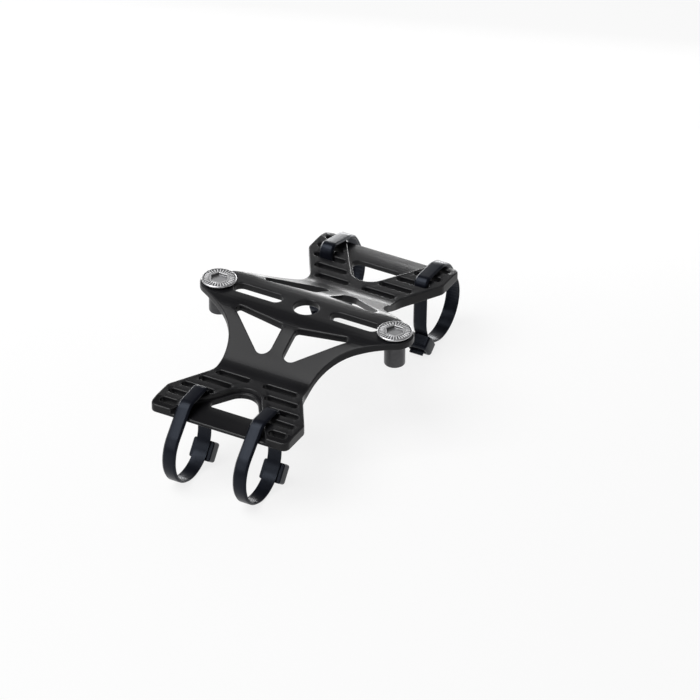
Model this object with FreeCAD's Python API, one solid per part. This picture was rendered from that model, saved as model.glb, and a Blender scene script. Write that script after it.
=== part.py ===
import FreeCAD, Part
import math
import os

from FreeCAD import Placement, Rotation, Vector

# Bottle cage adapter: an arched bracket strapped to two parallel tubes by cable ties, with two bolts
# for a bottle cage on its crest. X runs along the tubes, Y across the span and Z up. Millimetres.
# The shapes are worked out with Z = 0 on top of the crest, and stood on Z = 0 at the end.

# Cage bolts, thread inserts and the holes for them
bolt_pitch = 64.0
bolt_diameter = 5.0
bolt_length = 10.0
head_diameter = 11.4
head_height = 1.25
socket_across_flats = 5.0
socket_depth = 0.8
insert_diameter = 6.8
insert_drop = 8.6
insert_recess = 0.2
thread_clearance = 0.05
insert_clearance = 0.05

# Section of the arch, from the crest down the legs to the wings
sheet = 2.4
crest_width = 17.4
crest_radius = 12.0
leg_angle = 28.0
wing_drop = 10.3
valley_radius = 8.0
lobe_thickness = 3.6
wing_overhang = 3.1
bevel_width = 4.6
bevel_drop = 0.7

# Outline seen from above: round ends, tapered shoulders, a waist and flared wings
cap_margin = 0.5
taper_angle = 30.0
waist_width = 32.2
throat_radius = 18.0
flare_length = 26.1
flare_angle = 31.0
flare_radius = 8.0
wing_width = 49.6
wing_shoulder_radius = 3.0
wing_corner_radius = 2.2

# Holes in the crest: a plain hole in the middle and a long slot each side of it
centre_hole_diameter = 8.5
crest_slot_width = 4.8
slot_to_hole = 4.6
slot_to_bolt = 5.8

# Windows in the legs: two rounded triangles beside a middle web
web_width = 4.8
window_top = 10.6
window_top_slant = 7.8
window_side_angle = 38.7
window_foot = 26.3
window_tip_radius = 1.2
window_corner_radius = 1.2
window_foot_radius = 2.8

# Wings: rows of tie slots in raised lobes, and a lowered middle with an opening
slot_row_pitch = 5.4
slot_rows_each_side_of_tie = 2
tie_slot_width = 2.4
tie_row_inset = 0.2
slot_edge_margin = 2.1
slot_recess_margin = 1.5
recess_half_angle = 33.0
recess_length = 26.7
recess_apex_radius = 6.5
recess_depth = 1.7
opening_ledge = 1.0
strip_width = 9.1
opening_corner_radius = 2.0

# Tubes that the bracket is strapped to, and the cable ties round them
tube_diameter = 22.2
tube_spacing = 108.8
tie_width = 4.8
tie_thickness = 0.8
tie_slack = 0.05
tie_slot_clearance = 0.3
tie_arch_radius = 2.0
tie_bend_normal = 60.0
front_bend_radius = 4.2
front_bend_clearance = 1.0
rear_bend_radius = 9.0
rear_bend_clearance = 0.4
low_head_angle = 217.0
high_head_angle = 202.0
tie_head_length = 6.6
tie_head_width = 7.6
tie_head_height = 5.0
tie_head_chamfer = 0.8
tie_tail = 1.4
tie_mouth_gap = 0.5
tie_mouth_depth = 1.2
# each tie's place along its tube, its side of the span, how high it arches over the wing
# and where its head lies round the tube
tie_places = {
    "cable_tie_front_left": (-13.0, -1, 2.4, low_head_angle),
    "cable_tie_front_right": (12.5, -1, 2.1, low_head_angle),
    "cable_tie_rear_left": (-17.1, 1, 3.6, high_head_angle),
    "cable_tie_rear_right": (17.9, 1, 1.8, low_head_angle),
}

# Values that follow from the driving dimensions
tube_y = tube_spacing / 2
half_span = tube_y + wing_overhang
flare_start = half_span - flare_length
recess_vertex = half_span - recess_length
opening_reach = half_span - strip_width
half_crest = crest_width / 2
half_waist = waist_width / 2
half_wing = wing_width / 2
cap_radius = head_diameter / 2 + cap_margin
tube_radius = tube_diameter / 2
wing_top = -wing_drop
wing_under = wing_top - lobe_thickness
leg_slope = math.tan(math.radians(leg_angle))
flare_slope = math.tan(math.radians(flare_angle))
recess_slope = math.tan(math.radians(recess_half_angle))
loop_radius = tube_radius + tie_slack
tube_z = wing_under - loop_radius
tie_row = tube_y - tube_radius - tie_row_inset
tie_bends = {-1: (front_bend_radius, front_bend_clearance), 1: (rear_bend_radius, rear_bend_clearance)}
blank_reach = max(bolt_pitch / 2 + cap_radius, half_wing) + cap_radius
cut_reach = 3 * (wing_drop + lobe_thickness)


def in_plan(point):
    """Place an (x, y) point on the XY plane."""
    return Vector(point[0], point[1], 0)


def in_section(point):
    """Place a (y, z) point on the YZ plane."""
    return Vector(0, point[0], point[1])


def corner_arc(before, corner, after, radius):
    """Give the start, middle and end of the arc that rounds a corner of a 2-D path."""
    to_before = (Vector(*before, 0) - Vector(*corner, 0)).normalize()
    to_after = (Vector(*after, 0) - Vector(*corner, 0)).normalize()
    half_angle = to_before.getAngle(to_after) / 2
    bisector = (to_before + to_after).normalize()
    corner_point = Vector(*corner, 0)
    cut_back = radius / math.tan(half_angle)
    start = corner_point + to_before * cut_back
    end = corner_point + to_after * cut_back
    middle = corner_point + bisector * (radius / math.sin(half_angle) - radius)
    return [(p.x, p.y) for p in (start, middle, end)]


def rounded_loop(corners, place):
    """Make a closed wire through (point, radius) corners; a radius of 0 leaves a corner sharp."""
    spans = []
    for index, (corner, radius) in enumerate(corners):
        before = corners[index - 1][0]
        after = corners[(index + 1) % len(corners)][0]
        if radius > 0:
            spans.append(corner_arc(before, corner, after, radius))
        else:
            spans.append([corner])
    edges = []
    for index, points in enumerate(spans):
        placed = [place(p) for p in points]
        if len(placed) == 3:
            edges.append(Part.Arc(*placed).toShape())
        following = place(spans[(index + 1) % len(spans)][0])
        if (following - placed[-1]).Length > 1e-6:
            edges.append(Part.LineSegment(placed[-1], following).toShape())
    return Part.Wire(edges)


def plan_prism(corners, low, high):
    """Extrude a rounded outline on the XY plane between two heights."""
    face = Part.Face(rounded_loop(corners, in_plan))
    face.translate(Vector(0, 0, low))
    return face.extrude(Vector(0, 0, high - low))


def section_prism(corners, half_length):
    """Extrude a rounded outline on the YZ plane to both sides along X."""
    face = Part.Face(rounded_loop(corners, in_section))
    face.translate(Vector(-half_length, 0, 0))
    return face.extrude(Vector(2 * half_length, 0, 0))


def mirrored(corners):
    """Complete a right-hand list of (x, y) corners with its mirror image in X."""
    return corners + [((-x, y), radius) for (x, y), radius in reversed(corners)]


def upright_cylinder(radius, low, high, x=0.0):
    """Make a cylinder on a vertical axis at the given X on the crest's centre line."""
    return Part.makeCylinder(radius, high - low, Vector(x, 0, low))


def long_hole(x_start, x_end, y, width, low, high):
    """Make a round-ended slot along X between two heights."""
    radius = width / 2
    near, far = y - radius, y + radius
    first, last = x_start + radius, x_end - radius
    edges = [
        Part.LineSegment(Vector(first, near, low), Vector(last, near, low)).toShape(),
        Part.Arc(Vector(last, near, low), Vector(x_end, y, low), Vector(last, far, low)).toShape(),
        Part.LineSegment(Vector(last, far, low), Vector(first, far, low)).toShape(),
        Part.Arc(Vector(first, far, low), Vector(x_start, y, low), Vector(first, near, low)).toShape(),
    ]
    return Part.Face(Part.Wire(edges)).extrude(Vector(0, 0, high - low))


def outline_half_width(y):
    """Half-width of the wing's outline at a distance from the centre, before its corners are rounded."""
    if y < flare_start:
        return half_waist
    return min(half_waist + (y - flare_start) * flare_slope, half_wing)


def recess_half_width(y):
    """Half-width of the lowered middle of a wing at a distance from the centre."""
    return (y - recess_vertex) * recess_slope


def arch_section():
    """List the section's corners: over the top from one wing to the other, and back underneath."""
    valley = half_crest + wing_drop / leg_slope
    top = [
        ((half_span, wing_top - bevel_drop), 0),
        ((half_span - bevel_width, wing_top), 0),
        ((valley, wing_top), valley_radius),
        ((half_crest, 0), crest_radius),
    ]
    under_leg = sheet / math.cos(math.radians(leg_angle))
    under_crest = half_crest + (sheet - under_leg) / leg_slope
    under_valley = half_crest + (-wing_under - under_leg) / leg_slope
    under = [
        ((under_crest, -sheet), crest_radius - sheet),
        ((under_valley, wing_under), valley_radius + lobe_thickness),
        ((half_span, wing_under), 0),
    ]
    over_the_top = top + [((-y, z), radius) for (y, z), radius in reversed(top)]
    back_under = [((-y, z), radius) for (y, z), radius in reversed(under)] + under
    return over_the_top + back_under


def plan_outline():
    """List the corners of the bracket's outline seen from above."""
    taper = math.radians(taper_angle)
    apex = bolt_pitch / 2 + cap_radius / math.sin(taper)
    throat = (apex - half_waist) * math.tan(taper)
    flare_end = flare_start + (half_wing - half_waist) / flare_slope
    rear_right = [
        ((half_waist, throat), throat_radius),
        ((half_waist, flare_start), flare_radius),
        ((half_wing, flare_end), wing_shoulder_radius),
        ((half_wing, half_span), wing_corner_radius),
    ]
    rear = mirrored(rear_right)
    front = [((-x, -y), radius) for (x, y), radius in rear]
    return [((apex, 0), cap_radius)] + rear + [((-apex, 0), cap_radius)] + front


def leg_windows():
    """Make the cutters for the two windows of one leg, on the +Y side."""
    side_slope = math.tan(math.radians(window_side_angle))
    top_slope = math.tan(math.radians(window_top_slant))
    inner = web_width / 2
    tip = (window_foot - window_top - inner * top_slope) / (side_slope - top_slope)
    tip_y = window_foot - tip * side_slope
    corners = [
        ((tip, tip_y), window_tip_radius),
        ((inner, window_foot - inner * side_slope), window_foot_radius),
        ((inner, window_top), window_corner_radius),
    ]
    window = plan_prism(corners, -cut_reach, cut_reach)
    return [window, window.mirror(Vector(0, 0, 0), Vector(1, 0, 0))]


def tie_slots():
    """Make the cutters for the rows of tie slots in both lobes of one wing, on the +Y side."""
    cutters = []
    for row in range(-slot_rows_each_side_of_tie, slot_rows_each_side_of_tie + 1):
        y = tie_row + row * slot_row_pitch
        outer_end = outline_half_width(y) - slot_edge_margin
        inner_end = recess_half_width(y) + slot_recess_margin
        for start, end in ((inner_end, outer_end), (-outer_end, -inner_end)):
            cutters.append(long_hole(start, end, y, tie_slot_width, -cut_reach, cut_reach))
    return cutters


def wing_recess():
    """Make the cutter that lowers the middle of one wing, on the +Y side, parallel to its top."""
    past_edge = half_span + bevel_width
    far_half_width = recess_half_width(past_edge)
    wedge = plan_prism(
        [
            ((far_half_width, past_edge), 0),
            ((-far_half_width, past_edge), 0),
            ((0, recess_vertex), recess_apex_radius),
        ],
        -cut_reach,
        cut_reach,
    )
    floor = wing_top - recess_depth
    above = section_prism(
        [
            ((0, floor), 0),
            ((half_span - bevel_width, floor), 0),
            ((past_edge, floor - 2 * bevel_drop), 0),
            ((past_edge, cut_reach), 0),
            ((0, cut_reach), 0),
        ],
        far_half_width,
    )
    return wedge.common(above)


def wing_opening():
    """Make the cutter for the rounded triangular opening in one wing, on the +Y side."""
    inset = opening_ledge / math.sin(math.radians(recess_half_angle))
    half_width = (opening_reach - recess_vertex - inset) * recess_slope
    corners = [
        ((half_width, opening_reach), opening_corner_radius),
        ((-half_width, opening_reach), opening_corner_radius),
        ((0, recess_vertex + inset), recess_apex_radius - opening_ledge),
    ]
    return plan_prism(corners, -cut_reach, cut_reach)


def crest_holes():
    """Make the cutters for the crest: the plain hole, the long slots and the holes for the inserts."""
    slot_start = centre_hole_diameter / 2 + slot_to_hole
    slot_end = bolt_pitch / 2 - slot_to_bolt
    insert_hole = insert_diameter / 2 + insert_clearance
    cutters = [upright_cylinder(centre_hole_diameter / 2, -cut_reach, cut_reach)]
    for side in (-1, 1):
        start, end = sorted((side * slot_start, side * slot_end))
        cutters.append(long_hole(start, end, 0, crest_slot_width, -cut_reach, cut_reach))
        cutters.append(upright_cylinder(insert_hole, -cut_reach, cut_reach, side * bolt_pitch / 2))
    return cutters


def make_bridge():
    """Make the moulded bracket: an arched sheet cut to its outline, with lowered and pierced wings."""
    arch = section_prism(arch_section(), blank_reach)
    body = arch.common(plan_prism(plan_outline(), -cut_reach, cut_reach))
    rear = leg_windows() + [wing_recess(), wing_opening()] + tie_slots()
    front = [cutter.mirror(Vector(0, 0, 0), Vector(0, 1, 0)) for cutter in rear]
    return body.cut(rear + front + crest_holes()).removeSplitter()


def turned(corners, x):
    """Turn a closed (radius, z) outline round a vertical axis at the given X on the crest's centre line."""
    outline = Part.makePolygon([Vector(radius, 0, z) for radius, z in corners + corners[:1]])
    solid = Part.Face(outline).revolve(Vector(0, 0, 0), Vector(0, 0, 1), 360)
    solid.translate(Vector(x, 0, 0))
    return solid


def hexagon(across_flats, x, z):
    """Make a level six-sided face round a vertical axis, with two corners along X."""
    corner_radius = across_flats / math.sqrt(3)
    turns = [math.radians(60 * corner) for corner in range(7)]
    corners = [Vector(x + corner_radius * math.cos(t), corner_radius * math.sin(t), z) for t in turns]
    return Part.Face(Part.makePolygon(corners))


def make_bolt(x):
    """Make a cage bolt: a wide flat head with a hexagon socket on a plain shank."""
    head_radius = head_diameter / 2
    shank_radius = bolt_diameter / 2
    corners = [
        (0, -bolt_length),
        (shank_radius, -bolt_length),
        (shank_radius, 0),
        (head_radius, 0),
        (head_radius, head_height),
        (0, head_height),
    ]
    socket = hexagon(socket_across_flats, x, head_height - socket_depth).extrude(Vector(0, 0, head_height))
    return turned(corners, x).cut(socket)


def make_insert(x):
    """Make a thread insert: a sleeve set through the crest, open below, that the bolt screws into."""
    bore_radius = bolt_diameter / 2 + thread_clearance
    body_radius = insert_diameter / 2
    bottom = -sheet - insert_drop
    corners = [
        (bore_radius, bottom),
        (body_radius, bottom),
        (body_radius, -insert_recess),
        (bore_radius, -insert_recess),
    ]
    return turned(corners, x)


def belt(circles, offset):
    """Make the closed wire of a belt drawn tight round (y, z, radius) circles, at an offset outside it.

    The circles are listed in the order in which the belt runs clockwise, seen along -X.
    """
    pulleys = [(Vector(y, z, 0), radius + offset) for y, z, radius in circles]
    normals = []
    for (centre, radius), (next_centre, next_radius) in zip(pulleys, pulleys[1:] + pulleys[:1]):
        along = next_centre - centre
        normals.append(math.atan2(along.y, along.x) + math.acos((radius - next_radius) / along.Length))

    def on_pulley(index, angle):
        centre, radius = pulleys[index]
        return in_section((centre.x + radius * math.cos(angle), centre.y + radius * math.sin(angle)))

    edges = []
    for index in range(len(pulleys)):
        arrival = normals[index - 1]
        departure = normals[index] - 2 * math.pi * math.ceil((normals[index] - arrival) / (2 * math.pi))
        stops = [on_pulley(index, a) for a in (arrival, (arrival + departure) / 2, departure)]
        edges.append(Part.Arc(*stops).toShape())
        landing = on_pulley((index + 1) % len(pulleys), normals[index])
        edges.append(Part.LineSegment(stops[-1], landing).toShape())
    return Part.Wire(edges)


def lobe_edge(x):
    """Give the (y, z) where a strap at the given X leaves its lobe: at the recess or at the wing's edge."""
    y = min(recess_vertex + (abs(x) + tie_width / 2) / recess_slope, half_span)
    bevelled = max(y - (half_span - bevel_width), 0)
    return y, wing_top - bevel_drop * bevelled / bevel_width


def make_strap(x, side, rise):
    """Make the tie's closed strap: round the tube, up through the slot, over the wing and down again."""
    arch_z = wing_top + rise - tie_thickness - tie_arch_radius
    slot_wall = tie_row + tie_slot_width / 2 - tie_slot_clearance
    arch_y = slot_wall + math.sqrt(tie_arch_radius**2 - min(arch_z - wing_top, 0) ** 2)
    edge_y, edge_z = lobe_edge(x)
    bend_radius, bend_clearance = tie_bends[side]
    bend_normal = math.radians(tie_bend_normal)
    bend_reach = bend_radius - bend_clearance
    bend_y = edge_y - bend_reach * math.cos(bend_normal)
    bend_z = edge_z - bend_reach * math.sin(bend_normal)
    circles = [
        (tube_y, tube_z, loop_radius),
        (arch_y, arch_z, tie_arch_radius),
        (bend_y, bend_z, bend_radius),
    ]
    band = Part.Face(belt(circles, tie_thickness)).cut(Part.Face(belt(circles, 0)))
    band.translate(Vector(-tie_width / 2, 0, 0))
    return band.extrude(Vector(tie_width, 0, 0))


def make_tie_head(head_angle):
    """Make the tie's head and cut tail, at the given angle round the tube's axis on the +Y side."""
    inner = loop_radius + tie_thickness / 2
    outer = loop_radius + tie_head_height
    block = Part.makeBox(
        tie_head_width,
        outer - inner,
        tie_head_length,
        Vector(-tie_head_width / 2, inner, -tie_head_length / 2),
    )
    outer_edges = [edge for edge in block.Edges if edge.BoundBox.YMin > inner]
    block = block.makeChamfer(tie_head_chamfer, outer_edges)
    mouth_width = tie_width + 2 * tie_mouth_gap
    mouth_height = tie_thickness + 2 * tie_mouth_gap
    tail_length = tie_mouth_depth + tie_tail
    mouth = Part.makeBox(
        mouth_width,
        tail_length,
        mouth_height,
        Vector(-mouth_width / 2, outer - tie_mouth_depth, -mouth_height / 2),
    )
    tail = Part.makeBox(
        tie_width,
        tail_length,
        tie_thickness,
        Vector(-tie_width / 2, outer - tie_mouth_depth, -tie_thickness / 2),
    )
    head = block.cut(mouth).fuse(tail)
    head.Placement = Placement(Vector(0, tube_y, tube_z), Rotation(Vector(1, 0, 0), head_angle))
    return head


def make_tie(x, side, rise, head_angle):
    """Make a cable tie, one moulding, at the given X on the tube at +Y or -Y."""
    tie = make_strap(x, side, rise).fuse(make_tie_head(head_angle)).removeSplitter()
    if side < 0:
        tie = tie.mirror(Vector(0, 0, 0), Vector(0, 1, 0))
    tie.translate(Vector(x, 0, 0))
    return tie


def single_solid(shape):
    """Take the one solid out of a shape that holds just one."""
    (solid,) = shape.Solids
    return solid


def main():
    """Make every piece, stand the assembly on Z = 0 and write one file for each piece."""
    pieces = {"bridge": make_bridge()}
    for name, side in (("left", -1), ("right", 1)):
        pieces["cage_bolt_" + name] = make_bolt(side * bolt_pitch / 2)
        pieces["threaded_insert_" + name] = make_insert(side * bolt_pitch / 2)
    for name, place in tie_places.items():
        pieces[name] = make_tie(*place)
    lowest = min(piece.optimalBoundingBox(False, False).ZMin for piece in pieces.values())
    for name, piece in pieces.items():
        solid = single_solid(piece)
        solid.translate(Vector(0, 0, -lowest))
        solid.exportStep(f"parts/{name}.step")


os.makedirs("parts", exist_ok=True)
main()
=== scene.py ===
"""Bottle cage adapter in its finishes: a moulded bridge, steel bolts and sleeves, and nylon ties.

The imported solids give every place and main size. Each piece here is a finer surface of one of them,
worked out in metres in the same frame: X along the tubes, Y across the span and Z up.
"""

import logging
import math
from collections.abc import Mapping, Sequence
from dataclasses import dataclass
from enum import Enum
from typing import Any

import bmesh
import bpy
import numpy as np
from mathutils import Matrix, Vector


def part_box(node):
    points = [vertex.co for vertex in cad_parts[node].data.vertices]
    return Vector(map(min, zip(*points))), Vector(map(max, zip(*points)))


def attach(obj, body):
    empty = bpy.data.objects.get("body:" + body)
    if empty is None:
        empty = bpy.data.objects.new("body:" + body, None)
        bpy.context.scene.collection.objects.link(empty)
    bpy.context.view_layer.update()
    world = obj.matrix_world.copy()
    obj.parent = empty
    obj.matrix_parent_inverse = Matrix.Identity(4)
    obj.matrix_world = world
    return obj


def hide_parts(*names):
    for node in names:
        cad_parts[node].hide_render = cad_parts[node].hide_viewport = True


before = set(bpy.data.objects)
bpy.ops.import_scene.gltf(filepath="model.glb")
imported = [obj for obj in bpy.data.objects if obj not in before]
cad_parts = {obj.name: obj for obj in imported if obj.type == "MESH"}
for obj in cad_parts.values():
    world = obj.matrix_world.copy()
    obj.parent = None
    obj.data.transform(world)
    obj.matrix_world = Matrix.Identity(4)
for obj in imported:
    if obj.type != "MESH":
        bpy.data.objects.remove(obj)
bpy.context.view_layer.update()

LOG = logging.getLogger("bottle_cage_adapter")
MM = 0.001
FULL_TURN = 2 * math.pi
SHARP_ANGLE = math.radians(38)

Colour = tuple[float, float, float, float]
WHITE: Colour = (1.0, 1.0, 1.0, 1.0)


class Side(Enum):
    """The two sides of the span, with the sign of Y on each."""

    FRONT = -1
    REAR = 1


class Socket:
    """A value in a material that takes part in sums and products."""

    def __init__(self, graph: "Graph", output: bpy.types.NodeSocket) -> None:
        """Wrap one output socket of a node in a graph."""
        self.graph = graph
        self.output = output

    def _math(self, operation: str, first: "Socket | float", second: "Socket | float") -> "Socket":
        """Add a Math node for two values."""
        return self.graph.take("Math", 0, {"operation": operation}, {0: first, 1: second})

    def __add__(self, other: "Socket | float") -> "Socket":
        """Sum of this value and another, in either order."""
        return self._math("ADD", self, other)

    __radd__ = __add__

    def __sub__(self, other: "Socket | float") -> "Socket":
        """This value less another."""
        return self._math("SUBTRACT", self, other)

    def __rsub__(self, other: float) -> "Socket":
        """A number less this value."""
        return self._math("SUBTRACT", other, self)

    def __mul__(self, other: "Socket | float") -> "Socket":
        """Product of this value and another, in either order."""
        return self._math("MULTIPLY", self, other)

    __rmul__ = __mul__

    def ping_pong(self) -> "Socket":
        """Triangle wave that goes from 0 to 1 and back each time this value grows by 2."""
        return self._math("PINGPONG", self, 1.0)

    def clamped(self) -> "Socket":
        """This value, held between 0 and 1."""
        return self.graph.take("Clamp", 0, None, {0: self})


class Graph:
    """The node tree of one material or world, filled by expressions."""

    def __init__(self, owner: bpy.types.Material | bpy.types.World) -> None:
        """Empty the owner's node tree, ready for new nodes.

        Args:
            owner: Material or world that the graph belongs to.
        """
        owner.use_nodes = True
        self.owner = owner
        self.tree = owner.node_tree
        self.tree.nodes.clear()

    def node(
        self,
        kind: str,
        settings: Mapping[str, Any] | None = None,
        sockets: Mapping[str | int, Any] | None = None,
    ) -> bpy.types.Node:
        """Add a node.

        Args:
            kind: Node type without its "ShaderNode" prefix.
            settings: Properties of the node, set first.
            sockets: Numbers, colours or Sockets for the inputs, by name or index.

        Returns:
            The new node.
        """
        made = self.tree.nodes.new("ShaderNode" + kind)
        for name, value in (settings or {}).items():
            setattr(made, name, value)
        for key, value in (sockets or {}).items():
            if isinstance(value, Socket):
                self.tree.links.new(value.output, made.inputs[key])
            else:
                made.inputs[key].default_value = value
        return made

    def take(
        self,
        kind: str,
        output: str | int,
        settings: Mapping[str, Any] | None = None,
        sockets: Mapping[str | int, Any] | None = None,
    ) -> Socket:
        """Add a node as `node` does and wrap its output of this name or index."""
        return Socket(self, self.node(kind, settings, sockets).outputs[output])

    def attribute(self, name: str) -> Socket:
        """Value of a named attribute of the mesh."""
        return self.take("Attribute", "Fac", {"attribute_name": name})

    def noise(self, place: Socket, size: float, detail: float = 2.0) -> Socket:
        """Noise from 0 to 1 at a place, in cells of about `size` metres."""
        sockets = {"Vector": place, "Scale": 1 / size, "Detail": detail}
        return self.take("TexNoise", 0, None, sockets)

    def blend(self, factor: Socket, first: Colour | Socket, second: Colour | Socket) -> Socket:
        """Colour that goes from the first to the second as the factor goes from 0 to 1."""
        return self.take("Mix", 2, {"data_type": "RGBA"}, {0: factor, 6: first, 7: second})

    def bump(self, height: Socket, depth: float, strength: float) -> Socket:
        """Normal of a surface raised by a height from 0 to 1 times `depth` metres."""
        sockets = {"Strength": strength, "Distance": depth, "Height": height}
        return self.take("Bump", 0, None, sockets)

    def surface(self, shader: Socket) -> None:
        """Connect a shader to the material's or the world's output."""
        kind = "OutputWorld" if isinstance(self.owner, bpy.types.World) else "OutputMaterial"
        self.node(kind, None, {"Surface": shader})

    def principled(self, inputs: Mapping[str, Any]) -> bpy.types.Material:
        """Give the material a Principled shader with these inputs, and return the material."""
        self.surface(self.take("BsdfPrincipled", 0, None, inputs))
        return self.owner


@dataclass(frozen=True)
class MouldedPlastic:
    """Satin black plastic: a fine eroded grain, slow changes of gloss, and a painted highlight on the
    rims.
    """

    name: str = "bridge_plastic"
    deep: Colour = (0.0048, 0.0048, 0.0055, 1.0)
    pale: Colour = (0.0085, 0.0083, 0.0098, 1.0)
    # Painted highlight: the lighter colour laid on the rounded rims, and below it its least share
    # where the noise is low.
    rim_highlight: Colour = (0.0350, 0.0350, 0.0365, 1.0)
    least_rim_highlight: float = 0.25
    grain: float = 0.22 * MM
    cloud: float = 17 * MM
    scuff: float = 2.3 * MM
    grain_depth: float = 0.006 * MM
    roughness: float = 0.24
    cloud_roughness: float = 0.10
    scuff_roughness: float = 0.02
    rim_polish: float = 0.08
    specular_level: float = 0.19

    def material(self) -> bpy.types.Material:
        """Build the material.

        Returns:
            Black plastic whose colour and gloss drift with slow noise, with a grain in its normal.
            The "rim" attribute, 1 on rounded rims, mixes in a lighter colour, a painted highlight,
            where a noise lets it.
        """
        graph = Graph(bpy.data.materials.new(self.name))
        place = graph.take("TexCoord", "Object")
        cloud = graph.noise(place, self.cloud)
        scuff = graph.noise(place, self.scuff, detail=4.0)
        grain = graph.noise(place, self.grain, detail=3.0)
        rim = graph.attribute("rim")
        body = graph.blend(cloud, self.deep, self.pale)
        # Share of the painted highlight on the rims, broken up by the scuff noise.
        rim_highlight_share = rim * (self.least_rim_highlight + (1 - self.least_rim_highlight) * scuff)
        drift = self.cloud_roughness * cloud + self.scuff_roughness * scuff
        return graph.principled({
            "Base Color": graph.blend(rim_highlight_share, body, self.rim_highlight),
            "Roughness": self.roughness + drift - self.rim_polish * rim,
            "Specular IOR Level": self.specular_level,
            "Normal": graph.bump(grain, self.grain_depth, strength=0.5),
        })


@dataclass(frozen=True)
class Nylon:
    """Smooth black nylon with a cold tint and faint drag lines along the strap."""

    name: str = "tie_nylon"
    deep: Colour = (0.0045, 0.0050, 0.0080, 1.0)
    pale: Colour = (0.0075, 0.0085, 0.0130, 1.0)
    sheen: Colour = (0.72, 0.82, 1.0, 1.0)
    line: float = 0.16 * MM
    line_length: float = 9 * MM
    cloud: float = 6 * MM
    line_depth: float = 0.003 * MM
    roughness: float = 0.24
    cloud_roughness: float = 0.08
    line_roughness: float = 0.06
    specular_level: float = 0.17

    def material(self) -> bpy.types.Material:
        """Build the material.

        Returns:
            Dark nylon with noise that is drawn out along the strap, so its lines lie at constant X.
        """
        graph = Graph(bpy.data.materials.new(self.name))
        place = graph.take("TexCoord", "Object")
        stretch = self.line / self.line_length
        drawn = graph.take("Mapping", 0, None, {"Vector": place, "Scale": (1.0, stretch, stretch)})
        lines = graph.noise(drawn, self.line)
        cloud = graph.noise(place, self.cloud)
        drift = self.cloud_roughness * cloud + self.line_roughness * lines
        return graph.principled({
            "Base Color": graph.blend(cloud, self.deep, self.pale),
            "Roughness": self.roughness + drift,
            "Specular IOR Level": self.specular_level,
            "Specular Tint": self.sheen,
            "Normal": graph.bump(lines, self.line_depth, strength=0.4),
        })


@dataclass(frozen=True)
class TurnedSteel:
    """Metal turned on a lathe: fine rings, soft stains, painted shade in recesses and a painted
    highlight on bars.

    The "radius" attribute gives the rings. The shares of painted shade ("recess") and of painted
    highlight on the bars go from 0 to 1, each as an attribute.
    """

    name: str
    deep: Colour
    pale: Colour
    roughness: float
    # Painted shade: the dark colour laid in the recesses.
    painted_shade: Colour = (0.10, 0.10, 0.105, 1.0)
    # Painted highlight: the pale colour laid on the bars, where the metal is also taken down.
    painted_bar_highlight: Colour = (0.66, 0.66, 0.67, 1.0)
    ring: float = 0.11 * MM
    stain: float = 1.6 * MM
    ring_depth: float = 0.004 * MM
    stain_roughness: float = 0.10
    ring_roughness: float = 0.04
    recess_roughness: float = 0.15
    etched_roughness: float = 0.20
    etched_metal_loss: float = 0.80

    def material(self) -> bpy.types.Material:
        """Build the material.

        Returns:
            Metal whose colour and gloss follow a noise, with painted shade and a painted highlight
            mixed into its colour. A triangle wave of the radius is its bump.
        """
        graph = Graph(bpy.data.materials.new(self.name))
        place = graph.take("TexCoord", "Object")
        stain = graph.noise(place, self.stain, detail=3.0)
        radius = graph.attribute("radius")
        rings = (radius * (1 / self.ring)).ping_pong()
        recess = graph.attribute("recess")
        etched = graph.attribute("etched")
        polished = graph.blend(stain, self.deep, self.pale)
        # Painted shade, mixed in by the "recess" attribute.
        metal_with_painted_shade = graph.blend(recess, polished, self.painted_shade)
        lathe_marks = self.stain_roughness * stain + self.ring_roughness * rings
        dulling = self.recess_roughness * recess + self.etched_roughness * etched
        return graph.principled({
            # Painted highlight on the bars: a paler colour and less metal.
            "Base Color": graph.blend(etched, metal_with_painted_shade, self.painted_bar_highlight),
            "Metallic": 1.0 - self.etched_metal_loss * etched,
            "Roughness": self.roughness + lathe_marks + dulling,
            "Normal": graph.bump(rings, self.ring_depth, strength=0.35),
        })


BOLT_STEEL = TurnedSteel(
    "bolt_steel", (0.54, 0.54, 0.55, 1.0), (0.66, 0.66, 0.67, 1.0), roughness=0.31
)
INSERT_STEEL = TurnedSteel(
    "insert_steel", (0.045, 0.045, 0.047, 1.0), (0.085, 0.085, 0.088, 1.0), roughness=0.25
)


@dataclass
class Skin:
    """A closed surface: its points, four-sided faces, end faces and named values at each point."""

    points: np.ndarray
    quads: np.ndarray
    ends: list[np.ndarray]
    values: dict[str, np.ndarray]


def joined_rings(rings: np.ndarray, looped: bool, **values: np.ndarray) -> Skin:
    """Join rings of points into a closed skin.

    Point (i, j) of the grid is joined to (i + 1, j) and (i, j + 1), and j runs round. A looped skin
    joins the last ring to the first; otherwise one flat face closes the skin at each end.

    Args:
        rings: Points as an array of rings by columns by 3.
        looped: Whether the rings themselves run round.
        **values: Values at each point, rings by columns, for the attributes of these names.

    Returns:
        The skin, whose faces point outwards if the columns turn from X to Y as the rings go up Z.
    """
    count, columns = rings.shape[:2]
    index = np.arange(count * columns).reshape(count, columns)
    following = np.roll(index, -1, axis=0) if looped else index[1:]
    lower = index if looped else index[:-1]
    quads = np.stack(
        [lower, np.roll(lower, -1, axis=1), np.roll(following, -1, axis=1), following], axis=-1
    ).reshape(-1, 4)
    ends = [] if looped else [index[0, ::-1], index[-1]]
    flat_values = {name: value.reshape(-1) for name, value in values.items()}
    return Skin(rings.reshape(-1, 3), quads, ends, flat_values)


def turned_inside_out(skin: Skin) -> Skin:
    """The same skin with its faces turned round."""
    return Skin(skin.points, skin.quads[:, ::-1], [end[::-1] for end in skin.ends], skin.values)


def wave(phase: np.ndarray) -> np.ndarray:
    """Triangle wave of period 1 that goes from 0 up to 1 at half its period and back."""
    return 1 - np.abs(2 * (phase % 1.0) - 1)


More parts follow.
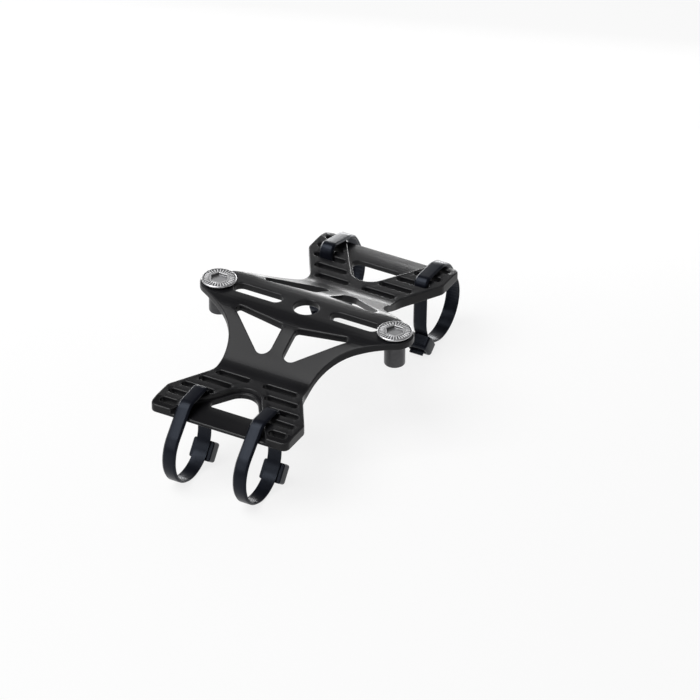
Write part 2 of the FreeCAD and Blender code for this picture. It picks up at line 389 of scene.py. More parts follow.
def smooth_step(ramp: np.ndarray) -> np.ndarray:
    """S-shaped curve, three times the square less twice the cube, over a ramp from 0 to 1."""
    return ramp**2 * (3 - 2 * ramp)


def column_turns(columns: int) -> np.ndarray:
    """Angles of columns spread evenly round an axis, the first along X."""
    return np.arange(columns) * FULL_TURN / columns


def turned(axis: Vector, radius: np.ndarray, height: np.ndarray) -> np.ndarray:
    """Points at radii and heights, rings by columns, turned round an upright axis."""
    turn = column_turns(radius.shape[1])
    return np.stack([axis.x + radius * np.cos(turn), axis.y + radius * np.sin(turn), height], -1)


def rounded_rectangle(
    half_width: float, half_height: float, radius: float, steps: int
) -> np.ndarray:
    """Ring of points round a rectangle with quarter-circle corners.

    Args:
        half_width: Half the size along the first axis.
        half_height: Half the size along the second axis.
        radius: Radius of the corners.
        steps: Points on each corner.

    Returns:
        Points of the ring, counter-clockwise, as an array of 4 * steps by 2.
    """
    quarter = np.linspace(0, math.pi / 2, steps)
    turns = (quarter + np.arange(4)[:, None] * math.pi / 2).ravel()
    signs = np.repeat([(1, 1), (-1, 1), (-1, -1), (1, -1)], steps, axis=0)
    centres = signs * (half_width - radius, half_height - radius)
    return centres + radius * np.stack([np.cos(turns), np.sin(turns)], axis=-1)


def arc(
    centre: Sequence[float], radius: float, start_deg: float, end_deg: float, steps: int
) -> np.ndarray:
    """Points of a circular arc, both ends included, as an array of steps by 2."""
    turns = np.radians(np.linspace(start_deg, end_deg, steps))
    return np.asarray(centre) + radius * np.stack([np.cos(turns), np.sin(turns)], axis=-1)


def mesh_of(name: str, skins: Sequence[Skin]) -> bpy.types.Mesh:
    """Make one mesh of several closed skins that all have the same named values.

    Args:
        name: Name of the mesh.
        skins: The skins.

    Returns:
        The mesh, with each named value as an attribute of its points.
    """
    starts = np.cumsum([0] + [len(skin.points) for skin in skins[:-1]])
    points = np.concatenate([skin.points for skin in skins])
    quads = np.concatenate([skin.quads + start for start, skin in zip(starts, skins)])
    ends = [(end + start).tolist() for start, skin in zip(starts, skins) for end in skin.ends]
    mesh = bpy.data.meshes.new(name)
    mesh.from_pydata(points.tolist(), [], quads.tolist() + ends)
    for attribute in skins[0].values:
        values = np.concatenate([skin.values[attribute] for skin in skins]).astype(np.float32)
        mesh.attributes.new(attribute, "FLOAT", "POINT").data.foreach_set("value", values)
    return mesh


def placed_piece(
    mesh: bpy.types.Mesh, node: str, finish: bpy.types.Material
) -> bpy.types.Object:
    """Put a mesh into the scene in place of a node, shaded smooth between sharp edges.

    Args:
        mesh: Mesh in the frame's own coordinates, under the name of the piece.
        node: Node that the piece stands for.
        finish: Material of the piece.

    Returns:
        The object, which rides on the body of the frame.
    """
    mesh.shade_smooth()
    mesh.set_sharp_from_angle(angle=SHARP_ANGLE)
    mesh.materials.clear()
    mesh.materials.append(finish)
    piece = bpy.data.objects.new(mesh.name, mesh)
    bpy.context.scene.collection.objects.link(piece)
    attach(piece, "root")
    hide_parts(node)
    LOG.info("%s: %d faces in place of %s", piece.name, len(mesh.polygons), node)
    return piece


@dataclass
class Bridge:
    """The moulded bracket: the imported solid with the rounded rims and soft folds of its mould."""

    finish: MouldedPlastic = MouldedPlastic()
    node: str = "bridge"
    crest_half_width: float = 8.7 * MM
    leg_angle_deg: float = 28.0
    wing_drop: float = 10.3 * MM
    solid_folds: tuple[float, float] = (12.0 * MM, 8.0 * MM)
    soft_folds: tuple[float, float] = (20.0 * MM, 13.0 * MM)
    soft_reach: float = 16.0 * MM
    seat_reach: float = 26.0 * MM
    crest_strips: tuple[float, float, int] = (-7.0 * MM, 6.2 * MM, 15)
    valley_strips: tuple[float, float, int] = (-4.0 * MM, 4.5 * MM, 12)
    seat_strips: int = 6
    rim_radius: float = 0.42 * MM
    rim_steps: int = 3
    least_rim_angle_deg: float = 32.0
    merge_distance: float = 0.0005 * MM
    cut_tolerance: float = 0.0001 * MM
    flat_angle_deg: float = 0.4

    def wing_corner(self) -> float:
        """Distance from the centre of the corner where the leg's line meets the wing's."""
        return self.crest_half_width + self.wing_drop / math.tan(math.radians(self.leg_angle_deg))

    def shell(self) -> bmesh.types.BMesh:
        """Copy the solid's triangles, merge them and join the flat ones into whole faces.

        Returns:
            The copy, which the caller frees.
        """
        shell = bmesh.new()
        shell.from_mesh(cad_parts[self.node].data)
        bmesh.ops.remove_doubles(shell, verts=shell.verts[:], dist=self.merge_distance)
        flat = math.radians(self.flat_angle_deg)
        bmesh.ops.dissolve_limit(
            shell, angle_limit=flat, verts=shell.verts[:], edges=shell.edges[:]
        )
        return shell

    def round_rims(self, shell: bmesh.types.BMesh) -> None:
        """Round every outward edge sharper than the least rim angle, and mark the new faces.

        Args:
            shell: The solid's copy, changed in place.
        """
        layer = shell.faces.layers.int.new("rounded")
        least = math.radians(self.least_rim_angle_deg)
        shared = [edge for edge in shell.edges if edge.is_manifold]
        rims = [edge for edge in shared if edge.calc_face_angle_signed() > least]
        rounded = bmesh.ops.bevel(
            shell,
            geom=rims,
            offset=self.rim_radius,
            offset_type="OFFSET",
            segments=self.rim_steps,
            profile=0.5,
            affect="EDGES",
            clamp_overlap=False,
        )
        for face in rounded["faces"]:
            face[layer] = 1

    def arch_height(self, distance: np.ndarray, folds: tuple[float, float]) -> np.ndarray:
        """Height of the arch's top under the crest at a distance from the centre.

        The crest, the leg and the wing are straight. One circle touches crest and leg, and another
        leg and wing. Each begins at its radius times the tangent of half the leg's angle before the
        corner of the two lines.

        Args:
            distance: Distances from the centre.
            folds: Radii of the fold at the crest and of the fold at the wing.

        Returns:
            Heights, zero on the crest and negative below it.
        """
        crest, valley = folds
        angle = math.radians(self.leg_angle_deg)
        into_crest = distance - self.crest_half_width + crest * math.tan(angle / 2)
        to_valley = self.wing_corner() + valley * math.tan(angle / 2) - distance
        crest_rise = np.sqrt(np.maximum(crest**2 - np.clip(into_crest, 0, None) ** 2, 0))
        valley_rise = np.sqrt(np.maximum(valley**2 - np.clip(to_valley, 0, None) ** 2, 0))
        over = crest_rise - crest
        under = valley - valley_rise - self.wing_drop
        leg = (self.crest_half_width - distance) * math.tan(angle)
        past_crest = into_crest > crest * math.sin(angle)
        before_valley = to_valley > valley * math.sin(angle)
        return np.where(past_crest & before_valley, leg, np.where(past_crest, under, over))

    def soften_folds(self, shell: bmesh.types.BMesh) -> None:
        """Cut the shell across its folds into strips, so that they can take a larger radius.

        Args:
            shell: The solid's copy, changed in place.
        """
        wide = [face for face in shell.faces if len(face.verts) > 4]
        bmesh.ops.triangulate(shell, faces=wide)
        crest = self.crest_half_width + np.linspace(*self.crest_strips)
        valley = self.wing_corner() + np.linspace(*self.valley_strips)
        seats = np.linspace(self.soft_reach, self.seat_reach, self.seat_strips)
        across = np.concatenate([-valley, -crest, crest, valley])
        along = np.concatenate([-seats, seats])
        cuts = [((0, place, 0), (0, 1, 0)) for place in across]
        cuts += [((place, 0, 0), (1, 0, 0)) for place in along]
        for place, normal in cuts:
            parts = shell.verts[:] + shell.edges[:] + shell.faces[:]
            bmesh.ops.bisect_plane(
                shell, geom=parts, plane_co=place, plane_no=normal, dist=self.cut_tolerance
            )

    def bend_folds(self, mesh: bpy.types.Mesh) -> None:
        """Move each point up or down by the difference that the softer folds make at its distance.

        Towards the bolts' flat seats the difference fades out, as a smooth step of X.

        Args:
            mesh: Mesh of the bridge, changed in place.
        """
        places = np.empty(3 * len(mesh.vertices), dtype=np.float32)
        mesh.vertices.foreach_get("co", places)
        points = places.reshape(-1, 3)
        distance = np.abs(points[:, 1])
        solid = self.arch_height(distance, self.solid_folds)
        drop = self.arch_height(distance, self.soft_folds) - solid
        fade = self.seat_reach - self.soft_reach
        ramp = np.clip((self.seat_reach - np.abs(points[:, 0])) / fade, 0, 1)
        points[:, 2] += drop * smooth_step(ramp)
        mesh.vertices.foreach_set("co", places)

    def write_rims(self, mesh: bpy.types.Mesh) -> None:
        """Write the "rim" attribute: 1 at points among rounded faces, 0 where another face begins.

        Args:
            mesh: Mesh of the bridge, with the "rounded" mark on its faces.
        """
        corners = np.empty(len(mesh.loops), dtype=np.int32)
        mesh.loops.foreach_get("vertex_index", corners)
        sides, rounded = np.empty((2, len(mesh.polygons)), dtype=np.int32)
        mesh.polygons.foreach_get("loop_total", sides)
        mesh.attributes["rounded"].data.foreach_get("value", rounded)
        rim = np.ones(len(mesh.vertices), dtype=np.float32)
        np.minimum.at(rim, corners, np.repeat(rounded, sides).astype(np.float32))
        mesh.attributes.new("rim", "FLOAT", "POINT").data.foreach_set("value", rim)

    def build(self) -> None:
        """Make the bridge, shaded smooth over its curves and its rims."""
        shell = self.shell()
        self.round_rims(shell)
        self.soften_folds(shell)
        mesh = bpy.data.meshes.new("moulded_bridge")
        shell.to_mesh(mesh)
        shell.free()
        self.bend_folds(mesh)
        self.write_rims(mesh)
        piece = placed_piece(mesh, self.node, self.finish.material())
        even = piece.modifiers.new("even_shading", "WEIGHTED_NORMAL")
        even.keep_sharp = True


# Rings over a bolt's head from the lip inwards, in mm: radius, depth under the top and height of
# the bars that stand there. The last column is the share of painted shade, in the groove inside the
# lip and between the bars.
HEAD_RINGS = np.array([
    (5.24, 0.01, 0.00, 0.0),
    (5.16, 0.05, 0.00, 0.2),
    (5.10, 0.32, 0.00, 0.9),
    (5.02, 0.36, 0.00, 1.0),
    (4.94, 0.35, 0.26, 1.0),
    (4.40, 0.27, 0.25, 1.0),
    (3.90, 0.18, 0.17, 1.0),
    (3.50, 0.11, 0.10, 1.0),
    (3.40, 0.09, 0.00, 0.6),
    (3.32, 0.01, 0.00, 0.0),
    (3.18, 0.00, 0.00, 0.0),
])

# Rings down into a bolt's socket, in mm: distance outside the hexagon and depth under the top. The
# last column is the share of painted shade on the socket's walls and floor.
SOCKET_RINGS = np.array([
    (0.16, 0.00, 0.0),
    (0.07, 0.03, 0.0),
    (0.00, 0.12, 0.7),
    (0.00, 0.72, 1.0),
    (-0.08, 0.80, 0.2),
])


@dataclass
class CageBolt:
    """A cage bolt: a low wide head with radial bars and a hexagon socket, on a threaded shank."""

    node: str
    finish: bpy.types.Material
    length: float = 10.0 * MM
    shank_radius: float = 2.5 * MM
    head_radius: float = 5.7 * MM
    head_height: float = 1.25 * MM
    seat_width: float = 0.3 * MM
    undercut: float = 0.75 * MM
    rim_rounding: float = 0.20 * MM
    rim_depth: float = 0.42 * MM
    top_rounding: float = 0.40 * MM
    socket_apothem: float = 2.5 * MM
    end_radii: tuple[float, float] = (1.4 * MM, 1.95 * MM)
    end_ring: float = 0.3 * MM
    end_chamfer: float = 0.45 * MM
    thread_pitch: float = 0.8 * MM
    thread_depth: float = 0.40 * MM
    thread_lead: float = 0.2
    thread_stop: float = 0.9 * MM
    neck: float = 0.85 * MM
    rings_per_turn: int = 8
    serrations: int = 30
    columns: int = 360

    def shank_rings(self) -> tuple[np.ndarray, np.ndarray]:
        """Radius and height of the shank's rings.

        The thread is a triangle wave of height over pitch less the turn, so it winds up the shank.
        It grows from nothing over one pitch at each end, and stops short of the head. At the end of
        the shank a cone of 45 degrees cuts it.

        Returns:
            Radii and heights, rings by columns.
        """
        step = self.thread_pitch / self.rings_per_turn
        heights = np.arange(-self.length + self.end_ring, -self.thread_stop, step)[:, None]
        phase = heights / self.thread_pitch - column_turns(self.columns) / FULL_TURN
        from_end = heights + self.length
        turns_up = from_end / self.thread_pitch - self.thread_lead
        turns_left = (-self.thread_stop - heights) / self.thread_pitch
        growth = np.clip(np.minimum(turns_up, turns_left), 0, 1)
        thread = self.shank_radius - self.thread_depth * wave(phase) * growth
        chamfer = np.clip(self.shank_radius - (self.end_chamfer - from_end), 0, self.shank_radius)
        radii = np.minimum(thread, chamfer)
        return radii, np.broadcast_to(heights, radii.shape)

    def head_profile(self) -> np.ndarray:
        """Follow the head's outline: neck, under face, undercut, and round the thin rim to the top.

        Returns:
            Radius and height over the seat at each place of the outline.
        """
        rim, top, shank = self.head_radius, self.head_height, self.shank_radius
        flat = [(shank + self.seat_width, 0.0), (rim - self.undercut, 0.0)]
        under = [(shank, -self.neck), (shank, 0.0), *flat]
        low, high = self.rim_rounding, self.top_rounding
        lower = arc((rim - low, top - self.rim_depth), low, -60, 0, steps=4)
        upper = arc((rim - high, top - high), high, 0, 90, steps=8)
        return np.concatenate([under, lower, upper])

    def top_rings(self) -> tuple[np.ndarray, np.ndarray, np.ndarray, np.ndarray]:
        """Give the rings over the top and down into the socket.

        A narrow lip stands round the top. Inside it a cone rises inwards to a flat collar round the
        socket, and radial bars stand on the cone. A bar is a smooth step of a triangle wave of the
        turn, doubled and lowered by a half. The socket's hexagon has a radius of its apothem over
        the cosine of the turn from the middle of the nearest flat.

        Returns:
            Radii, heights, shares of painted shade and shares of painted highlight on the bars, rings
            by columns.
        """
        turn = column_turns(self.columns)
        bar = smooth_step(np.clip(2 * wave(turn * self.serrations / FULL_TURN) - 0.5, 0, 1))
        radius, sunk, tall, dark = HEAD_RINGS.T[..., None]
        band_height = self.head_height - MM * (sunk - tall * bar)
        band_radius = np.broadcast_to(radius * MM, band_height.shape)
        # Painted shade in the groove and between the bars, none on the bars' tops.
        band_recess = dark * np.where(tall > 0, 1 - bar, 1)
        sixth = FULL_TURN / 6
        hexagon = self.socket_apothem / np.cos(turn % sixth - sixth / 2)
        edge, drop, shade = SOCKET_RINGS.T[..., None]
        socket_radius = hexagon + edge * MM
        socket_height = self.head_height - drop * MM * np.ones_like(turn)
        return (
            np.concatenate([band_radius, socket_radius]),
            np.concatenate([band_height, socket_height]),
            np.concatenate([band_recess, shade * np.ones_like(turn)]),
            # Painted highlight on the bars' tops, none in the socket.
            np.concatenate([np.where(tall > 0, bar, 0), 0 * socket_radius]),
        )

    def build(self) -> None:
        """Make the bolt, from the end of its shank up over the head and down into the socket."""
        low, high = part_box(self.node)
        axis = (low + high) / 2
        seat = high.z - self.head_height
        head = np.repeat(self.head_profile()[:, None, :], self.columns, axis=1)
        shank = self.shank_rings()
        top = self.top_rings()
        end_radius = np.array(self.end_radii)[:, None] * np.ones(self.columns)
        end_height = np.full_like(end_radius, -self.length)
        radius = np.concatenate([end_radius, shank[0], head[..., 0], top[0]])
        height = np.concatenate([end_height, shank[1], head[..., 1], top[1]])
        plain = np.zeros((len(radius) - len(top[2]), self.columns))
        # Shares of painted shade and of painted highlight on the top, none on the shank or under the
        # head.
        recess = np.concatenate([plain, top[2]])
        etched = np.concatenate([plain, top[3]])
        points = turned(axis, radius, seat + height)
        skin = joined_rings(points, looped=False, radius=radius, recess=recess, etched=etched)
        mesh = mesh_of(self.node.replace("cage_bolt", "serrated_bolt"), [skin])
        placed_piece(mesh, self.node, self.finish)


@dataclass
class ThreadedInsert:
    """A thread insert: a sleeve with a rounded lower lip and a thread cut in its bore."""

    node: str
    finish: bpy.types.Material
    body_radius: float = 3.4 * MM
    bore_radius: float = 2.55 * MM
    lip_radius: float = 0.40 * MM
    top_rounding: float = 0.15 * MM
    mouth: float = 0.2 * MM
    thread_pitch: float = 0.8 * MM
    thread_depth: float = 0.32 * MM
    rings_per_turn: int = 8
    columns: int = 144

    def build(self) -> None:
        """Make the sleeve as a closed outline of radius and height turned round its axis.

        The outline goes up outside and down the bore. In the bore the radius grows outwards by a
        triangle wave of height over pitch less the turn, which is the thread. It fades out over the
        last half pitch at both ends.
        """
        low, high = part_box(self.node)
        axis = (low + high) / 2
        bottom, top = low.z, high.z
        lip, edge = self.lip_radius, self.top_rounding
        outside = np.concatenate([
            arc((self.body_radius - lip, bottom + lip), lip, -90, 0, steps=7),
            arc((self.body_radius - edge, top - edge), edge, 0, 90, steps=4),
        ])
        mouth = bottom + self.mouth
        rings = round((top - mouth) / self.thread_pitch * self.rings_per_turn) + 1
        bore_heights = np.linspace(top, mouth, rings)
        bore = np.stack([np.full(rings, self.bore_radius), bore_heights], axis=-1)
        outline = np.concatenate([outside, bore, [(self.bore_radius + self.mouth, bottom)]])
        radius = np.repeat(outline[:, :1], self.columns, axis=1)
        height = np.repeat(outline[:, 1:], self.columns, axis=1)
        inside = slice(len(outside), len(outside) + len(bore))
        ends = np.minimum(top - height[inside], height[inside] - mouth) / self.thread_pitch
        phase = height[inside] / self.thread_pitch - column_turns(self.columns) / FULL_TURN
        radius[inside] += self.thread_depth * wave(phase) * np.clip(2 * ends, 0, 1)
        points = turned(axis, radius, height)
        # Painted shade: full in the bore and on the bottom, fading round the lower lip, a little at
        # the top edge.
        recess = np.clip(self.body_radius - radius, 0, lip) / lip
        # No painted highlight on the sleeve.
        etched = np.zeros_like(radius)
        skin = joined_rings(points, looped=True, radius=radius, recess=recess, etched=etched)
        mesh = mesh_of(self.node.replace("threaded_insert", "threaded_sleeve"), [skin])
        placed_piece(mesh, self.node, self.finish)


# Radius of the strap's bend at the lobe's edge, and its clearance there, on each side.
STRAP_BENDS = {Side.FRONT: (4.2 * MM, 1.0 * MM), Side.REAR: (9.0 * MM, 0.4 * MM)}


@dataclass
class CableTie:
    """A cable tie pulled tight: a toothed strap in a closed loop, its head and its cut tail."""

    node: str
    side: Side
    rise: float
    finish: bpy.types.Material
    head_angle_deg: float = 217.0
    width: float = 4.8 * MM
    face_width: float = 3.6 * MM
    thickness: float = 0.8 * MM
    edge_rounding: float = 0.2 * MM
    loop_radius: float = 11.15 * MM
    lobe_thickness: float = 3.6 * MM
    slot_wall_inset: float = 10.4 * MM
    arch_radius: float = 2.0 * MM
    recess_length: float = 26.7 * MM
    recess_half_angle_deg: float = 33.0
    bevel_width: float = 4.6 * MM
    bevel_drop: float = 0.7 * MM
    bend_normal_deg: float = 60.0
    tooth_pitch: float = 1.1 * MM
    tooth_depth: float = 0.24 * MM
    tooth_slope: float = 1.25
    toothed_half_width: float = 1.55 * MM
    toothless_angle_deg: float = 98.0
    head_length: float = 6.6 * MM
    head_width: float = 7.6 * MM
    head_height: float = 5.0 * MM
    head_corner: float = 0.75 * MM
    foot_bevel: float = 0.3 * MM
    foot_corner: float = 0.6 * MM
    shoulder_across: float = 0.62 * MM
    shoulder_along: float = 1.37 * MM
    shoulder_corner_loss: float = 0.35 * MM
    mouth_gap: float = 0.5 * MM
    mouth_depth: float = 1.2 * MM
    mouth_corner: float = 0.3 * MM
    mouth_bevel: float = 0.14 * MM
    mouth_rim_corner: float = 0.4 * MM
    tail: float = 1.4 * MM
    tail_root: float = 0.2 * MM
    tail_bevel: float = 0.1 * MM
    stations_per_tooth: int = 6
    stations_per_bend: int = 240
    corner_steps: int = 6
    shoulder_steps: int = 8

    def tube_axis(self) -> np.ndarray:
        """Find the axis of the tube inside the loop, from the boxes of the tie and the bridge.

        Returns:
            Distance from the centre and height.
        """
        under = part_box("bridge")[0].z
        low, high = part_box(self.node)
        reach = max(high.y * self.side.value, low.y * self.side.value)
        return np.array([reach - self.loop_radius - self.thickness, under - self.loop_radius])

    def lobe_edge(self) -> np.ndarray:
        """Find where the strap leaves its lobe of the wing.

        The lobe's inner side runs out from the recess's apex at a half-angle, so it is met where
        the strap's outer X over the tangent of that angle has been covered, or else at the wing's
        edge. Over its bevel the wing's top falls evenly.

        Returns:
            Distance from the centre and height.
        """
        bridge_low, bridge_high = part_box("bridge")
        low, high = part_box(self.node)
        outer = abs(low.x + high.x) / 2 + self.width / 2
        covered = outer / math.tan(math.radians(self.recess_half_angle_deg))
        distance = min(bridge_high.y - self.recess_length + covered, bridge_high.y)
        bevelled = max(distance - bridge_high.y + self.bevel_width, 0) / self.bevel_width
        return np.array([distance, bridge_low.z + self.lobe_thickness - self.bevel_drop * bevelled])

    def pulleys(self) -> list[tuple[np.ndarray, float]]:
        """Place the three circles that the strap is drawn round.

        Returns:
            Centre and radius of the tube, the arch over the slot and the bend at the lobe's edge.
        """
        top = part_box("bridge")[0].z + self.lobe_thickness
        axis = self.tube_axis()
        height = top + self.rise - self.thickness - self.arch_radius
        reach = math.sqrt(self.arch_radius**2 - min(height - top, 0) ** 2)
        arch = np.array([axis[0] - self.slot_wall_inset + reach, height])
        bend_radius, clearance = STRAP_BENDS[self.side]
        normal = math.radians(self.bend_normal_deg)
        outward = np.array([math.cos(normal), math.sin(normal)])
        bend = self.lobe_edge() - (bend_radius - clearance) * outward
        return [(axis, self.loop_radius), (arch, self.arch_radius), (bend, bend_radius)]

    def run(self) -> tuple[np.ndarray, np.ndarray, np.ndarray]:
        """Follow the middle of the strap like a belt round its pulleys.

        Each straight run touches two circles. Its normal stands off the line of their centres by
        the angle whose cosine is the difference of their radii over the distance between them.

        Returns:
            Points (distance, height), the angles of the outward normals, and the teeth passed,
            at equal steps with a whole number of teeth in the loop.
        """
        circles = [(centre, radius + self.thickness / 2) for centre, radius in self.pulleys()]
        leaving = []
        for (centre, radius), (onward, next_radius) in zip(circles, circles[1:] + circles[:1]):
            along = onward - centre
            lean = math.acos((radius - next_radius) / float(np.hypot(*along)))
            leaving.append(math.atan2(along[1], along[0]) + lean)
        angles, points = [], []
        for number, (centre, radius) in enumerate(circles):
            start = leaving[number - 1]
            end = leaving[number] - FULL_TURN * math.ceil((leaving[number] - start) / FULL_TURN)
            bend = np.linspace(start, end, self.stations_per_bend)
            whole_turns = round((angles[-1][-1] - start) / FULL_TURN) if angles else 0
            angles.append(bend + FULL_TURN * whole_turns)
            points.append(centre + radius * np.stack([np.cos(bend), np.sin(bend)], axis=-1))
        points.append(points[0][:1])
        angles.append(angles[0][:1] - FULL_TURN)
        track, normal = np.concatenate(points), np.concatenate(angles)
        ran = np.concatenate([[0.0], np.cumsum(np.hypot(*np.diff(track, axis=0).T))])
        teeth = round(ran[-1] / self.tooth_pitch)
        stations = teeth * self.stations_per_tooth
        step = np.arange(stations) / stations * ran[-1]
        even = np.stack([np.interp(step, ran, track[:, axis]) for axis in (0, 1)], axis=-1)
        return even, np.interp(step, ran, normal), step * teeth / ran[-1]

    def section(self) -> np.ndarray:
        """Ring of (across, outward) points of the strap.

        The outer face is narrower than the inner one, and a flank slopes down from it on each side
        to a thin square edge. The corners are cut by two short facets, and the inner face also has
        the edges of the toothed band.

        Returns:
            Points of the ring, counter-clockwise with outward up.
        """
        wide, face, half = self.width / 2, self.face_width / 2, self.thickness / 2
        soft = self.edge_rounding / 4
        edge_top, flank_foot = -0.30 * half, -0.15 * half
        flank = np.array([
            (wide - soft, -half),
            (wide, -half + soft),
            (wide, edge_top),
            (wide - 0.5 * soft, flank_foot),
            (face + 2.0 * soft, half - 2.2 * soft),
            (face, half - 0.45 * soft),
            (face - 2.0 * soft, half),
        ])
        band = self.toothed_half_width
        band_edge = 1.06 * band
        inner = np.array([(across, -half) for across in (-band_edge, -band, 0, band, band_edge)])
        return np.concatenate([flank, flank[::-1] * (-1, 1), inner])

    def placed(self, across: np.ndarray, distance: np.ndarray, height: np.ndarray) -> np.ndarray:
        """Points at the tie's own X, with the distance from the centre taken to its side."""
        low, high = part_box(self.node)
        return np.stack([(low.x + high.x) / 2 + across, distance * self.side.value, height], -1)

    def strap(self) -> Skin:
        """Carry the section round the run.

        Teeth are a sawtooth of the length run with a short flat, cut into the middle of the inner
        face. They begin at the toothless angle from the head and are full at twice that angle.

        Returns:
            The strap's skin, looped both ways.
        """
        track, normal, teeth = self.run()
        section = self.section()
        across = np.broadcast_to(section[:, 0], (len(track), len(section)))
        in_band = (np.abs(section[:, 0]) <= self.toothed_half_width) & (section[:, 1] < 0)
        sawtooth = np.clip(self.tooth_slope * (1 - teeth % 1.0), 0, 1)
        past_head = normal - math.radians(self.head_angle_deg)
        from_head = np.abs((past_head + math.pi) % FULL_TURN - math.pi)
        growth = np.clip(from_head / math.radians(self.toothless_angle_deg) - 1, 0, 1)
        depth = self.tooth_depth * sawtooth * growth
        outward = section[:, 1] + depth[:, None] * in_band
        distance = track[:, :1] + outward * np.cos(normal)[:, None]
        height = track[:, 1:] + outward * np.sin(normal)[:, None]
        return joined_rings(self.placed(across, distance, height), looped=True)

    def on_head(self, loops: Sequence[tuple[float, float, float, float]]) -> Skin:
        """Stack rounded rectangles outwards from the tube's axis at the head's angle.

        Args:
            loops: Half-width along X, half-length round the tube, corner radius and distance from
                the tube's axis of each ring, in order.

        Returns:
            The skin through the rings, closed at both ends.
        """
        rings = np.stack([rounded_rectangle(*loop[:3], steps=self.corner_steps) for loop in loops])
        out = np.array(loops)[:, 3:]
        turn = math.radians(self.head_angle_deg)
        axis = self.tube_axis()
        distance = axis[0] + out * math.cos(turn) - rings[..., 1] * math.sin(turn)
        height = axis[1] + out * math.sin(turn) + rings[..., 1] * math.cos(turn)
        return joined_rings(self.placed(rings[..., 0], distance, height), looped=False)

    def head(self) -> Skin:
        """Make the head: a block with a bevelled foot, a rounded outer end and a mouth in that end.

        The shoulder is a quarter of an ellipse: its inset goes as one less the cosine of the turn,
        and its distance from the end as one less the sine.

        Returns:
            The head's skin.
        """
        wide, long = self.head_width / 2, self.head_length / 2
        inner = self.loop_radius + self.thickness / 2
        outer = self.loop_radius + self.head_height
        shoulder = [
            (
                wide - self.shoulder_across * (1 - math.cos(turn)),
                long - self.shoulder_along * (1 - math.cos(turn)),
                self.head_corner - self.shoulder_corner_loss * math.sin(turn),
                outer - self.shoulder_along * (1 - math.sin(turn)),
            )
            for turn in np.linspace(0, math.pi / 2, self.shoulder_steps)
        ]
        foot = self.foot_bevel
        mouth_wide = self.width / 2 + self.mouth_gap
        mouth_long = self.thickness / 2 + self.mouth_gap
        rim = self.mouth_bevel
        return self.on_head([
            (wide - foot, long - foot, self.foot_corner, inner),
            (wide, long, self.head_corner, inner + foot),
            *shoulder,
            (mouth_wide + rim, mouth_long + rim, self.mouth_rim_corner, outer),
            (mouth_wide, mouth_long, self.mouth_corner, outer - rim),
            (mouth_wide, mouth_long, self.mouth_corner, outer - self.mouth_depth),
        ])

    def cut_tail(self) -> Skin:
        """Make the stub of the strap that stands out of the mouth, cut off square with a soft edge.

        Returns:
            The stub's skin, which begins below the floor of the mouth.
        """
        wide, thick, corner = self.width / 2, self.thickness / 2, self.edge_rounding
        outer = self.loop_radius + self.head_height
        soft = self.tail_bevel
        return self.on_head([
            (wide, thick, corner, outer - self.mouth_depth - self.tail_root),
            (wide, thick, corner, outer + self.tail - soft),
            (wide - soft, thick - soft, corner - soft, outer + self.tail),
        ])

    def build(self) -> None:
        """Make the tie. On the rear side the mirrored skins are turned to face outwards again."""
        skins = [self.strap(), self.head(), self.cut_tail()]
        if self.side is Side.REAR:
            skins = [turned_inside_out(skin) for skin in skins]
        mesh = mesh_of(self.node.replace("cable_tie", "toothed_tie"), skins)
        placed_piece(mesh, self.node, self.finish)


@dataclass
class SoftBox:
    """A large soft lamp: where it hangs, where it faces, its size and its brightness."""

    name: str
    place: tuple[float, float, float]
    target: tuple[float, float, float]
    size: tuple[float, float]
    brightness: float

    def build(self) -> None:
        """Hang the lamp. Its power is its brightness times pi times its area."""
        lamp = bpy.data.lights.new(self.name, "AREA")
        lamp.shape = "RECTANGLE"
        lamp.size, lamp.size_y = self.size
        lamp.energy = self.brightness * math.pi * math.prod(self.size)
        hung = bpy.data.objects.new(self.name, lamp)
        hung.visible_camera = False
        hung.location = self.place
        away = Vector(self.place) - Vector(self.target)
        hung.rotation_euler = away.to_track_quat("Z", "Y").to_euler()
        bpy.context.scene.collection.objects.link(hung)


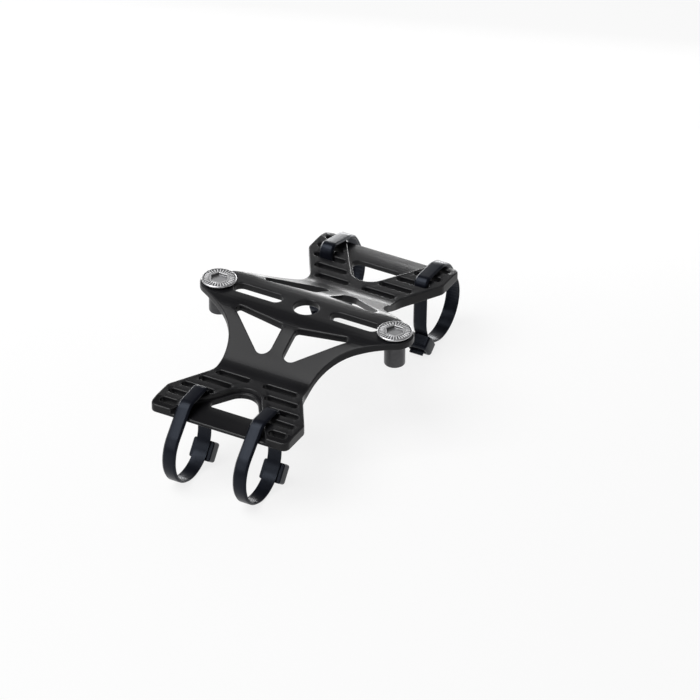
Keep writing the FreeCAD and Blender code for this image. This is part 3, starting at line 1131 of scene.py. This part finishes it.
@dataclass
class Studio:
    """A pale floor, a dim room, soft lamps and the camera at the photograph's angle."""

    azimuth_deg: float = 28.8613
    elevation_deg: float = 33.5208
    lens_mm: float = 393.98
    aim_right: float = 13.852 * MM
    aim_down: float = 14.112 * MM
    distance: float = 2439.51 * MM
    aim_above_crest: float = 0.5 * MM
    view_reach: float = 100.0
    floor_reach: float = 30.0
    floor_tone: Colour = (0.86, 0.86, 0.86, 1.0)
    room_light: float = 0.13
    background_share: float = 0.82
    lamps: tuple[SoftBox, ...] = (
        SoftBox("back_strip", (-0.12, 0.125, 0.023), (-0.05, 0.0, 0.030), (0.42, 0.02), 9.0),
        SoftBox("back_panel", (-0.10, 0.22, 0.050), (-0.02, 0.0, 0.042), (0.6, 0.05), 2.5),
        SoftBox("back_card", (-0.12, 0.22, 0.165), (0.0, 0.0, 0.035), (0.5, 0.09), 0.8),
        SoftBox("front_window", (-0.45, -0.95, 0.42), (0.0, -0.05, 0.02), (0.6, 0.36), 2.5),
        SoftBox("right_window", (0.80, -0.80, 0.34), (0.0, 0.0, 0.02), (0.7, 0.4), 0.5),
        SoftBox("overhead_box", (-0.45, -0.49, 1.1), (-0.05, -0.05, 0.0), (0.95, 0.95), 5.5),
    )

    def seen_directly(self, graph: Graph) -> Socket:
        """Tell what is seen from what only lights the object.

        Args:
            graph: Graph of the material that asks.

        Returns:
            1 for rays from the camera, off gloss or through glass, and 0 for other light.
        """
        kinds = ("Is Camera Ray", "Is Glossy Ray", "Is Transmission Ray")
        camera, gloss, glass = (graph.take("LightPath", kind) for kind in kinds)
        return (camera + gloss + glass).clamped()

    def lay_floor(self) -> None:
        """Lay a pale matt floor that shows mostly white and keeps a part of the shadow."""
        graph = Graph(bpy.data.materials.new("pale_floor"))
        matt = graph.take("BsdfDiffuse", 0, None, {"Color": self.floor_tone})
        white = graph.take("Emission", 0, None, {"Color": WHITE, "Strength": 1.0})
        share = self.seen_directly(graph) * self.background_share
        graph.surface(graph.take("MixShader", 0, None, {0: share, 1: matt, 2: white}))
        reach = self.floor_reach
        corners = [(-reach, -reach, 0), (reach, -reach, 0), (reach, reach, 0), (-reach, reach, 0)]
        mesh = bpy.data.meshes.new("floor")
        mesh.from_pydata(corners, [], [(0, 1, 2, 3)])
        mesh.materials.append(graph.owner)
        floor = bpy.data.objects.new("floor", mesh)
        bpy.context.scene.collection.objects.link(floor)

    def fill_room(self) -> None:
        """Light the room evenly and dimly from all round."""
        world = bpy.data.worlds.new("dim_room")
        bpy.context.scene.world = world
        graph = Graph(world)
        dim = {"Color": WHITE, "Strength": self.room_light}
        graph.surface(graph.take("Background", 0, None, dim))

    def set_camera(self) -> None:
        """Stand the camera at the photograph's angle, with the crest at its place in it."""
        turn, rise = math.radians(self.azimuth_deg), math.radians(self.elevation_deg)
        right = Vector((math.cos(turn), math.sin(turn), 0.0))
        level = Vector((math.sin(turn), -math.cos(turn), 0.0))
        back = level * math.cos(rise) + Vector((0.0, 0.0, math.sin(rise)))
        up = back.cross(right)
        aim = Vector((0.0, 0.0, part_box("bridge")[1].z + self.aim_above_crest))
        place = aim + right * self.aim_right - up * self.aim_down + back * self.distance
        lens = bpy.data.cameras.new("photo_camera")
        lens.lens = self.lens_mm
        lens.clip_end = self.view_reach
        camera = bpy.data.objects.new("photo_camera", lens)
        facing = Matrix((right, up, back)).transposed().to_4x4()
        camera.matrix_world = Matrix.Translation(place) @ facing
        bpy.context.scene.collection.objects.link(camera)
        bpy.context.scene.camera = camera

    def build(self) -> None:
        """Set the floor, the room, the lamps and the camera."""
        bpy.context.scene.view_settings.view_transform = "Standard"
        self.lay_floor()
        self.fill_room()
        for lamp in self.lamps:
            lamp.build()
        self.set_camera()
        LOG.info("studio: floor, room, %d lamps and camera", len(self.lamps))


def main() -> None:
    """Build the studio and every piece in order."""
    logging.basicConfig(level=logging.INFO, format="%(name)s: %(message)s")
    Studio().build()
    Bridge().build()
    bright, dark = BOLT_STEEL.material(), INSERT_STEEL.material()
    for name in ("left", "right"):
        CageBolt(f"cage_bolt_{name}", bright).build()
        ThreadedInsert(f"threaded_insert_{name}", dark).build()
    nylon = Nylon().material()
    CableTie("cable_tie_front_left", Side.FRONT, 2.4 * MM, nylon).build()
    CableTie("cable_tie_front_right", Side.FRONT, 2.1 * MM, nylon).build()
    CableTie("cable_tie_rear_left", Side.REAR, 3.6 * MM, nylon, head_angle_deg=202.0).build()
    CableTie("cable_tie_rear_right", Side.REAR, 1.8 * MM, nylon).build()


if __name__ == "__main__":
    main()
